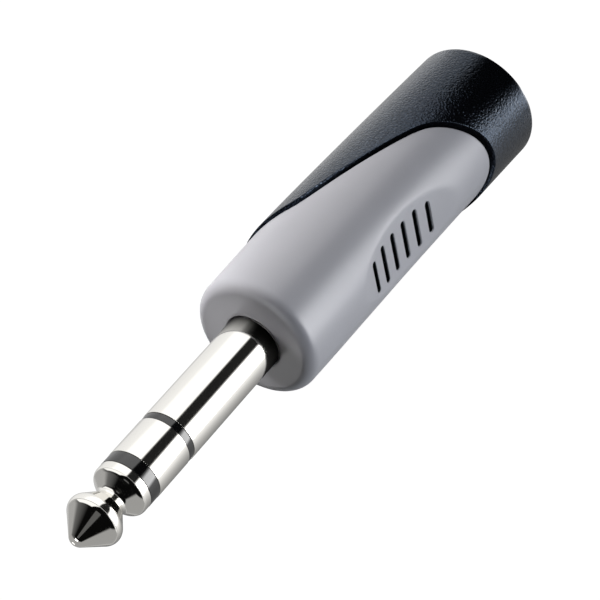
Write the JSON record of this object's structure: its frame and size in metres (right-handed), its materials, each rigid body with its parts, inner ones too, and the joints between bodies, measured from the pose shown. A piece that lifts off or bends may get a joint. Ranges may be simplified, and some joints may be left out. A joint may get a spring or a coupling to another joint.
{
  "type": "jack adapter",
  "caption": "Audio adapter with a 6.35 mm stereo plug on a slim two-colour body and a 3.5 mm stereo socket in its rear face.",
  "frame": {"origin": "on the plug's axis, in the plane of the rear face that the adapter stands on; the body's box is centred 0.5 mm from it, towards +X, because the barrel leans that way", "axes": "+Z along the plug's axis towards its tip, +X towards the middle of the finger rest"},
  "size_m": [0.0163, 0.0152, 0.0762],
  "materials": {
    "grey_plastic": "satin moulded",
    "black_plastic": "fine textured",
    "nickel": "bright nickel plated",
    "insulator": "moulded",
    "tinned_tag": "tinned",
    "fibre": "pressed fibre",
    "socket_moulding": "moulded",
    "contact_bronze": "rolled strip",
    "white_wire": "extruded",
    "red_wire": "extruded",
    "black_wire": "extruded"
  },
  "bodies": {
    "root": {"front_shell": "grey_plastic", "rear_shell": "black_plastic", "tip_contact": "nickel", "tip_insulator": "insulator", "ring_contact": "nickel", "ring_insulator": "insulator", "sleeve_contact": "nickel", "back_insulator": "insulator", "ring_lug": "tinned_tag", "lug_washer": "fibre", "tip_lug": "tinned_tag", "sleeve_lug": "tinned_tag", "socket_body": "socket_moulding", "socket_bush": "nickel", "socket_sleeve_tag": "contact_bronze", "socket_ring_spring": "contact_bronze", "socket_tip_spring": "contact_bronze", "tip_wire": "white_wire", "ring_wire": "red_wire", "sleeve_wire": "black_wire"}
  },
  "joints": []
}
